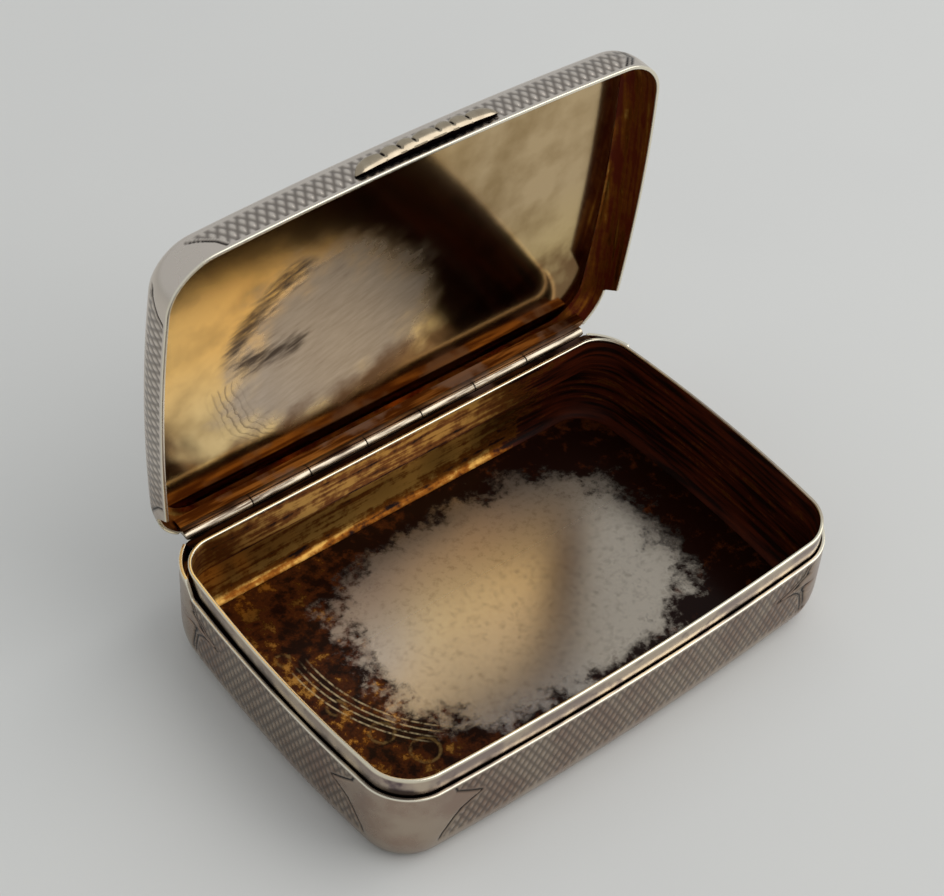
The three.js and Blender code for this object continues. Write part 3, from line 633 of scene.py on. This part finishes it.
feed(shader, {"Base Color": colour, "Roughness": rough, "Metallic": metal,
              "Specular IOR Level": SNUFF_SHEEN})


def lid_bracket(height):
    """Distance in from the box's end at which the turning ends, at each height of the lid's wall: one
    sweep, and a straight slanting line at the front right corner."""
    ends = np.where(end_corner == 0, np.interp(height, *LID_STRAIGHT.T), np.interp(height, *LID_SWEEP.T))
    return ends + STEP_BRACKET_SHIFT * beside_step


def trimmed(points, inset):
    """The lid's points, drawn together on the line just above its rim at an inset where the rim is cut
    away."""
    x, y = outline(inset, panel_path)
    line = rim_line(x, y, LID_GAP) + EDGE_ROUND
    return np.where((points[..., 2] > line)[..., None], points, np.stack([x, y, line], -1))


def thumb_shade(points):
    """Painted shadow on the lid's front, under the thumbpiece's overhang: a crescent above a parabola that
    meets the ends."""
    x, y, z = np.moveaxis(points, -1, 0)
    arch = z - BODY_HEIGHT - LID_GAP - EDGE_ROUND - SHADE_RISE * (x / THUMB_HALF) ** 2
    under_bar = (y < 0) & (np.abs(x) < THUMB_HALF)
    return smooth_step(0.0, SHADE_EDGE, arch) * smooth_step(*SHADE_TOP, z) * under_bar


top_curve = np.column_stack([TOP_ROUND_INSET * (1 - np.cos(quarter)),
                             LID_TOP - TOP_ROUND_HEIGHT * (1 - np.sin(quarter))])
wall_curve = np.vstack([[0, LID_PANEL_FOOT], top_curve])
wall, cut = turned_wall(wall_curve, LID_PANEL_TOP, lid_bracket, end_corner == 0, panel_path, 1)
lip = lip_rows(LID_SHEET, LID_PANEL_FOOT, panel_path, LID_GAP)
inside = ring_rows(LID_SHEET + (TOP_ROUND_INSET - LID_SHEET) * (1 - np.cos(cove[::-1])),
                   LID_TOP - TOP_ROUND_HEIGHT + (TOP_ROUND_HEIGHT - LID_PLATE_SHEET) * np.sin(cove[::-1]),
                   panel_path)
# The painted shadow under the thumbpiece darkens the lid's wall and lip through the cut value.
lid_cut_and_shade = np.concatenate([np.maximum(cut, thumb_shade(wall)), np.zeros(inside.shape[:2]),
                          np.maximum(lip_cut, thumb_shade(lip) + RUBBED * (lip_cut < 0))[::-1]])
lid_rows = np.concatenate([trimmed(wall, 0.0), trimmed(inside, LID_SHEET), lip[::-1]])
lid_band = mesh_object("lid_band_turned", opened(lid_rows), [silver_turned, gilt_lid_wall],
                       np.r_[np.zeros(len(wall)), np.ones(len(inside)), np.zeros(len(lip))], True,
                       {"cut": lid_cut_and_shade})
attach(lid_band, "lid")
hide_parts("lid_band")

# Lid plate. The flat top of the lid, let into its band and soldered; gilt below, worn to silver in a round
# patch where it was rubbed clean of snuff, and polished above.
RUB_MIDDLE, RUB_HALF = np.array([-9.5, 4.5]), np.array([17.5, 16.5])
SMEAR_START, SMEAR_END, SMEAR_WIDTH = np.array([-23.5, 2.2]), np.array([-16.0, 2.6]), 2.4
SMUDGE_AT, SMUDGE_WIDTH, SMUDGE_BEARING, SMUDGE_SPREAD = 0.98, 0.13, -135, (50, 15)
SWIRL_GAP, SWIRL_WIDTH, SWIRL_BEARING, SWIRL_SPREAD = 0.055, 0.12, 160, (50, 30)

plate = plate_rows(TOP_ROUND_INSET + BASE_SEAM, LID_TOP - LID_PLATE_SHEET, LID_TOP, plain_path)
plate_place = plate[..., :2]
rub_way = (plate_place - RUB_MIDDLE) / RUB_HALF
rub = np.linalg.norm(rub_way, axis=-1)  # 1 at the patch's edge
bearing = np.degrees(np.arctan2(rub_way[..., 1], rub_way[..., 0]))
edge_smudge = (np.exp(-((rub - SMUDGE_AT) / SMUDGE_WIDTH) ** 2)
               * smooth_step(*SMUDGE_SPREAD, np.abs(bearing - SMUDGE_BEARING)))
smear = SMEAR_END - SMEAR_START
smear_share = np.clip((plate_place - SMEAR_START) @ smear / np.sum(smear ** 2), 0, 1)[..., None]
smear_off = np.linalg.norm(plate_place - SMEAR_START - smear_share * smear, axis=-1)
smudge = np.maximum(edge_smudge, np.exp(-(smear_off / SMEAR_WIDTH) ** 2))
swirled = (np.exp(-((rub - 1.0) / SWIRL_WIDTH) ** 2)
           * smooth_step(*SWIRL_SPREAD, np.abs(bearing - SWIRL_BEARING)))

# Fire-gilt silver of the lid, burnished: mirror-like, a full gold at the left and paler at the right, a
# painted reflection of the bright room, and paler low down, rubbed thin to grey silver in the patch, which
# has no sharp edge, with smudges of dried snuff in fine slanting strokes and a few round scratches beside
# it, and brown along the hinge's bar.
gilt_lid, node, shader, spot, way = new_material("silver gilt, burnished and rubbed")
slant = node("Mapping", {"Vector": spot, "Rotation": (0.0, 0.3, 0.0)})
slant = node("Mapping", {"Vector": slant, "Scale": (1 / (4 * MM), 1 / (4 * MM), 1 / (0.9 * MM))})
brush = node("TexNoise", {"Vector": slant, "Scale": 1.0, "Detail": 7.0, "Roughness": 0.6})
film = node("TexNoise", {"Vector": spot, "Scale": 1 / (6 * MM), "Detail": 7.0})
rubbed = node("Attribute", output="Fac", attribute_name="rub")
ragged = node("Math", {0: brush, 1: -0.3, 2: rubbed}, operation="MULTIPLY_ADD")
ragged = node("Math", {0: film, 1: -0.9, 2: ragged}, operation="MULTIPLY_ADD")
bare = node("MapRange", {"Value": ragged, "From Min": 0.58, "From Max": 0.02, "To Max": 0.95},
            interpolation_type="SMOOTHSTEP")
# Painted reflection: the gold is paler towards the right, as if the bright room were reflected there.
paler_painted_reflection = node("MapRange", {"Value": way["X"], "From Min": -24 * MM, "From Max": 14 * MM})
gilt = node("Mix", {0: paler_painted_reflection, 6: "#dab066", 7: "#c8ae84"}, output=2, data_type="RGBA")
low = node("MapRange", {"Value": way["Z"], "From Min": 46 * MM, "From Max": 32 * MM})
gilt = node("Mix", {0: low, 6: gilt, 7: "#d2b880"}, output=2, data_type="RGBA")
dulled = node("MapRange", {"Value": film, "From Min": 0.42, "From Max": 0.7, "To Max": 0.6})
gilt = node("Mix", {0: dulled, 6: gilt, 7: "#8d7040"}, output=2, data_type="RGBA")
silver = node("Mix", {0: brush, 6: "#cfc5b7", 7: "#9c8c7c"}, output=2, data_type="RGBA")
colour = node("Mix", {0: bare, 6: gilt, 7: silver}, output=2, data_type="RGBA")
smudged = node("Attribute", output="Fac", attribute_name="smudge")
smudged = node("Math", {0: brush, 1: 1.8, 2: smudged}, operation="MULTIPLY_ADD")
smudged = node("MapRange", {"Value": smudged, "From Min": 1.15, "From Max": 2.1, "To Max": 0.9},
               interpolation_type="SMOOTHSTEP")
colour = node("Mix", {0: smudged, 6: colour, 7: "#35261c"}, output=2, data_type="RGBA")
by_hinge = node("Math", {0: film, 1: -14 * MM, 2: way["Z"]}, operation="MULTIPLY_ADD")
rightward = node("MapRange", {"Value": way["X"], "From Min": -12 * MM, "From Max": 10 * MM,
                              "To Max": 5 * MM})
by_hinge = node("Math", {0: by_hinge, 1: rightward}, operation="SUBTRACT")
by_hinge = node("MapRange", {"Value": by_hinge, "From Min": 21 * MM, "From Max": 15 * MM, "To Max": 0.85},
                interpolation_type="SMOOTHSTEP")
colour = node("Mix", {0: by_hinge, 6: colour, 7: "#6a4416"}, output=2, data_type="RGBA")
swirl = node("Math", {0: rubbed, 1: SWIRL_GAP}, operation="DIVIDE")
swirl = node("Math", {0: film, 1: 4.0, 2: swirl}, operation="MULTIPLY_ADD")
swirl = node("Math", {0: swirl}, operation="FRACT")
swirl = node("MapRange", {"Value": swirl, "From Min": 0.6, "From Max": 0.95, "To Max": 0.6})
swirled_in = node("Attribute", output="Fac", attribute_name="swirled")
swirl = node("Math", {0: swirl, 1: swirled_in}, operation="MULTIPLY")
colour = node("Mix", {0: swirl, 6: colour, 7: "#4c3c2c"}, output=2, data_type="RGBA")
rough = node("MapRange", {"Value": bare, "To Min": 0.11, "To Max": 0.38})
feed(shader, {"Base Color": colour, "Roughness": rough})

# Polished sterling silver of the lid's top: handled bright, with a thin lavender-grey film of tarnish in
# clouds.
silver_polished, node, shader, spot, _ = new_material("sterling silver, polished and handled")
film = node("TexNoise", {"Vector": spot, "Scale": 1 / (9 * MM), "Detail": 5.0})
colour = node("Mix", {0: film, 6: "#ddd5cb", 7: "#c9c0b8"}, output=2, data_type="RGBA")
rough = node("MapRange", {"Value": film, "To Min": 0.14, "To Max": 0.26})
feed(shader, {"Base Color": colour, "Roughness": rough})

lid_plate = mesh_object("lid_plate_flat", opened(plate), [gilt_lid, silver_polished],
                        np.repeat([0, 1], PLATE_RINGS)[:-1], False,
                        {"rub": rub, "smudge": smudge, "swirled": swirled})
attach(lid_plate, "lid")
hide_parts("lid_plate")

# Thumbpiece. A cast and chased silver bar soldered to the lid's front: a crescent with a hollow underside
# for the nail, its edge cut by six notches into seven lobes.
THUMB_LOBES = np.array([4.55, 2.5, 2.3, 3.7, 2.3, 2.5, 4.55])
THUMB_HEIGHT, THUMB_NOTCH_HEIGHT, THUMB_END_HEIGHT, THUMB_SAG = 2.5, 1.9, 0.9, 0.1
THUMB_PROUD, THUMB_END_PROUD, THUMB_END_ROUND = 1.35, 0.6, 1.3
THUMB_FOOT, THUMB_SEAM, THUMB_STATIONS = 14.85, 0.06, 401
NOTCH_WIDTH, NOTCH_BITE, NOTCH_DIP, NOTCH_GRIME, NOTCH_FROM = 0.2, 0.45, 0.12, 1.4, (0.3, 0.5)
# The bar's section from the foot of its back round the nose to its top: shares of its stand-out and height.
THUMB_SECTION = np.array([(0.0, 0.0), (0.0, 0.14), (0.2, 0.16), (0.4, 0.12), (0.55, 0.04), (0.72, 0.02),
                          (0.86, 0.08), (0.95, 0.2), (1.0, 0.36), (1.0, 0.52), (0.95, 0.68), (0.84, 0.81),
                          (0.66, 0.91), (0.4, 0.97), (0.0, 1.0)])
# Painted shade at each point of the section: black on the hollow underside, a little at the top against the
# lid.
THUMB_SHADE = np.array([1, 1, 1, 0.9, 0.4, 0, 0, 0, 0, 0, 0, 0, 0, 0, 0.3])

joints = np.r_[0, np.cumsum(THUMB_LOBES)] - THUMB_LOBES.sum() / 2
joint_height = np.r_[THUMB_END_HEIGHT, np.full(len(THUMB_LOBES) - 1, THUMB_NOTCH_HEIGHT), THUMB_END_HEIGHT]
x = np.linspace(joints[0], joints[-1], THUMB_STATIONS)
lobe = np.clip(np.searchsorted(joints, x, "right") - 1, 0, len(THUMB_LOBES) - 1)
t = (x - joints[lobe]) / THUMB_LOBES[lobe]
crown = 2 * THUMB_HEIGHT - THUMB_NOTCH_HEIGHT
height = (1 - t) ** 2 * joint_height[lobe] + 2 * t * (1 - t) * crown + t ** 2 * joint_height[lobe + 1]
notch = np.exp(-((x[:, None] - joints[1:-1]) / NOTCH_WIDTH) ** 2).max(1)
to_end = np.clip((np.abs(x) - joints[-1]) / THUMB_END_ROUND + 1, 0, 1)
end_close = np.sqrt(1 - to_end ** 2)
proud = (THUMB_PROUD - (THUMB_PROUD - THUMB_END_PROUD) * (x / joints[-1]) ** 2) * end_close
low = THUMB_FOOT - THUMB_SAG * (1 - (x / joints[-1]) ** 2) + 0.5 * height * (1 - end_close)
front = -BOX_WIDTH / 2 + FRONT_BOW * (x / (BOX_LENGTH / 2)) ** 2 - THUMB_SEAM
out_share, up_share = THUMB_SECTION.T[..., None]
notched = notch * smooth_step(*NOTCH_FROM, up_share)
out = proud * out_share * (1 - NOTCH_BITE * notched)
up = low + height * end_close * up_share * (1 - NOTCH_DIP * notched)
bar = np.stack([np.broadcast_to(x, out.shape), front - out, up], -1)
# Old polish in the notches, and painted shade on the underside.
grime_and_shade = np.maximum(THUMB_SHADE[:, None], NOTCH_GRIME * notched)

# Cast silver, chased and handled: bright on the lobes, black with old polish in the notches, with painted
# shade, black, on the hollow underside.
silver_cast, node, shader, spot, _ = new_material("sterling silver, cast and chased")
grime_and_shade_in = node("Attribute", output="Fac", attribute_name="grime_and_shade")
film = node("TexNoise", {"Vector": spot, "Scale": 1 / (1.5 * MM), "Detail": 4.0})
colour = node("Mix", {0: film, 6: "#c8baa2", 7: "#968670"}, output=2, data_type="RGBA")
grime_and_shade_in = node("MapRange", {"Value": grime_and_shade_in, "From Min": 0.25, "From Max": 0.8},
                interpolation_type="SMOOTHSTEP")
colour = node("Mix", {0: grime_and_shade_in, 6: colour, 7: "#1c1213"}, output=2, data_type="RGBA")
rough = node("MapRange", {"Value": grime_and_shade_in, "To Min": 0.24, "To Max": 0.5})
feed(shader, {"Base Color": colour, "Roughness": rough})

thumbpiece = mesh_object("thumbpiece_lobed", opened(bar.transpose(1, 0, 2)[::-1]), [silver_cast], None, False,
                         {"grime_and_shade": grime_and_shade.T[::-1]})
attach(thumbpiece, "lid")
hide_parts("thumbpiece")

# The board that the box stands on, matt paint on card, and the light: a pale room, and one broad soft lamp
# high at the front right, in which the floor of the box and the lid see each other bright.
BOARD_HALF, BOARD_DROP = 2.0, 2e-5
LAMP_SIZE, LAMP_POWER, LAMP_DISTANCE, ROOM_STRENGTH = 1.0, 4.9, 0.85, 0.6
LAMP_WAY = Vector((0.55, -0.36, 0.755))
corners = np.array([(-1, -1), (1, -1), (1, 1), (-1, 1)]) * BOARD_HALF
floor_mesh = bpy.data.meshes.new("board")
floor_mesh.from_pydata(np.column_stack([corners, np.full(4, -BOARD_DROP)]).tolist(), [], [(0, 1, 2, 3)])
board_paint, node, shader, spot, _ = new_material("painted card, matt", 0.0)
mottle = node("TexNoise", {"Vector": spot, "Scale": 1 / (60 * MM), "Detail": 3.0})
colour = node("Mix", {0: mottle, 6: "#d0cfcc", 7: "#d5d4d0"}, output=2, data_type="RGBA")
feed(shader, {"Base Color": colour, "Roughness": 0.9})
floor_mesh.materials.append(board_paint)
board = bpy.data.objects.new("board", floor_mesh)
bpy.context.scene.collection.objects.link(board)

room = bpy.data.worlds.new("room")
bpy.context.scene.world = room
room.use_nodes = True
feed(room.node_tree.nodes["Background"], {"Color": "#f4f8fb", "Strength": ROOM_STRENGTH})
lamp = bpy.data.objects.new("lamp", bpy.data.lights.new("lamp", "AREA"))
lamp.data.size = LAMP_SIZE
lamp.data.energy = LAMP_POWER
lamp.location = LAMP_WAY * LAMP_DISTANCE
lamp.rotation_euler = (-LAMP_WAY).to_track_quat("-Z", "Y").to_euler()
bpy.context.scene.collection.objects.link(lamp)
